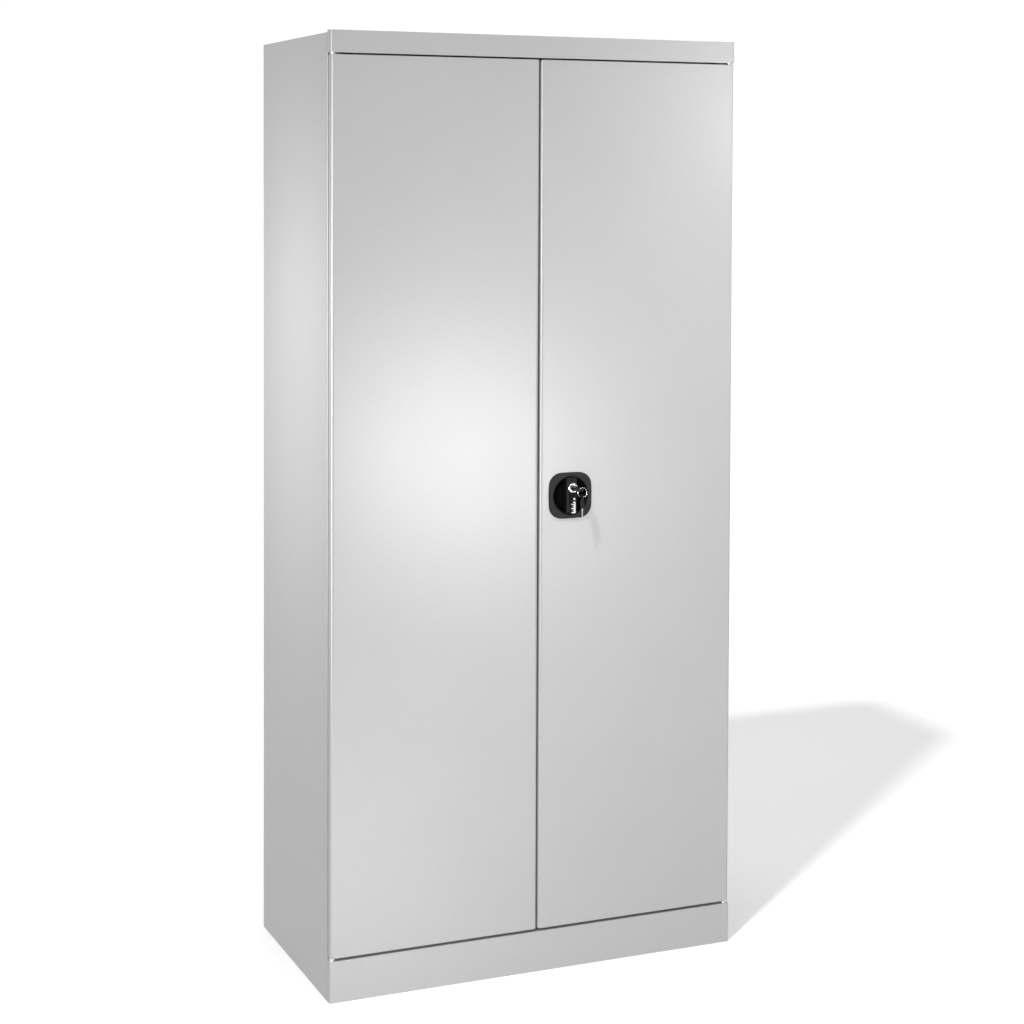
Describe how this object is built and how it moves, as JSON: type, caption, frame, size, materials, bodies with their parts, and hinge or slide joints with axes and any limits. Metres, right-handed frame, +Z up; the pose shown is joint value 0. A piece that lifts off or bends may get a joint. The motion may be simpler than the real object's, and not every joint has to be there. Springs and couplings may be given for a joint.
{
  "type": "steel storage cupboard",
  "caption": "Tall freestanding steel cupboard with a pair of full-height hinged doors, adjustable shelves and a turn-handle rod lock with keys.",
  "frame": {"origin": "on the floor, under the middle of the part's box, hanging keys included", "axes": "+Z up; the doors face -Y; +X is to the right seen from the front"},
  "size_m": [0.91, 0.5266, 1.95],
  "materials": {
    "grey_powder_coat": "fine textured powder coat",
    "zinc_plated_steel": "bright zinc plating",
    "black_lock_plastic": "satin moulded",
    "key_head_plastic": "smooth moulded",
    "nylon": "moulded nylon",
    "rubber": "matt",
    "chrome": "polished",
    "nickel_brass": "nickel plated",
    "spring_wire": "bright wire",
    "sintered_steel": "oiled"
  },
  "bodies": {
    "carcass": {"left_side_panel": "grey_powder_coat", "right_side_panel": "grey_powder_coat", "back_panel": "grey_powder_coat", "top_panel": "grey_powder_coat", "base_panel": "grey_powder_coat", "header": "grey_powder_coat", "plinth": "grey_powder_coat", "rear_base_rail": "grey_powder_coat", "left_front_upright": "grey_powder_coat", "right_front_upright": "grey_powder_coat", "left_rear_upright": "grey_powder_coat", "right_rear_upright": "grey_powder_coat", "shelf_1": "grey_powder_coat", "shelf_2": "grey_powder_coat", "shelf_3": "grey_powder_coat", "shelf_4": "grey_powder_coat", "shelf_clips": "zinc_plated_steel", "foot_brackets": "zinc_plated_steel", "levelling_feet": "zinc_plated_steel", "door_buffers": "rubber", "back_rivets": "zinc_plated_steel", "left_upper_pivot_pin": "zinc_plated_steel", "left_lower_pivot_pin": "zinc_plated_steel", "right_upper_pivot_pin": "zinc_plated_steel", "right_lower_pivot_pin": "zinc_plated_steel"},
    "left_door": {"left_door_panel": "grey_powder_coat", "left_door_stiffener": "grey_powder_coat", "left_door_bushes": "nylon"},
    "right_door": {"right_door_panel": "grey_powder_coat", "right_door_stiffener": "grey_powder_coat", "right_door_bushes": "nylon", "lock_bezel": "black_lock_plastic", "lock_case": "zinc_plated_steel", "lock_cover": "zinc_plated_steel", "lock_screws": "zinc_plated_steel", "rod_guides": "nylon"},
    "handle": {"turn_handle": "black_lock_plastic", "handle_spindle": "zinc_plated_steel", "drive_pinion": "sintered_steel", "latch_lever": "zinc_plated_steel", "spindle_screw": "zinc_plated_steel", "cylinder_barrel": "nickel_brass", "cylinder_collar": "chrome"},
    "key": {"cylinder_plug": "nickel_brass", "key_blade": "nickel_brass", "key_head": "key_head_plastic"},
    "ring": {"key_ring": "spring_wire"},
    "spare_key": {"spare_key_blade": "nickel_brass", "spare_key_head": "key_head_plastic"},
    "upper_rod": {"upper_lock_rod": "zinc_plated_steel"},
    "lower_rod": {"lower_lock_rod": "zinc_plated_steel"}
  },
  "joints": [
    {"name": "left_door_hinge", "type": "hinge", "parent": "carcass", "child": "left_door", "pos_m": [-0.446, -0.1983, 0.0895], "axis": [0, 0, -1], "range_deg": [0, 110]},
    {"name": "right_door_hinge", "type": "hinge", "parent": "carcass", "child": "right_door", "pos_m": [0.446, -0.1983, 0.0895], "axis": [0, 0, 1], "range_deg": [0, 110]},
    {"name": "handle_turn", "type": "hinge", "parent": "right_door", "child": "handle", "pos_m": [0.07, -0.2073, 0.996], "axis": [0, 1, 0], "range_deg": [0, 90]},
    {"name": "upper_rod_slide", "type": "slide", "parent": "right_door", "child": "upper_rod", "axis": [0, 0, 1], "range_m": [0, 0.0166]},
    {"name": "lower_rod_slide", "type": "slide", "parent": "right_door", "child": "lower_rod", "axis": [0, 0, -1], "range_m": [0, 0.0166]},
    {"name": "key_turn", "type": "hinge", "parent": "handle", "child": "key", "pos_m": [0.07, -0.2203, 1.0134], "axis": [0, 1, 0], "range_deg": [0, 90]},
    {"name": "key_ring_swing", "type": "hinge", "parent": "key", "child": "ring", "pos_m": [0.07, -0.2517, 1.0134], "axis": [0, 1, 0], "range_deg": [-30, 0]},
    {"name": "spare_key_swing", "type": "hinge", "parent": "ring", "child": "spare_key", "pos_m": [0.0781, -0.2517, 0.997], "axis": [1, 0, 0], "range_deg": [-20, 20]}
  ],
  "couplings": [
    {"joint": "upper_rod_slide", "follows": "handle_turn", "m_per_rad": 0.0105},
    {"joint": "lower_rod_slide", "follows": "handle_turn", "m_per_rad": 0.0105}
  ]
}
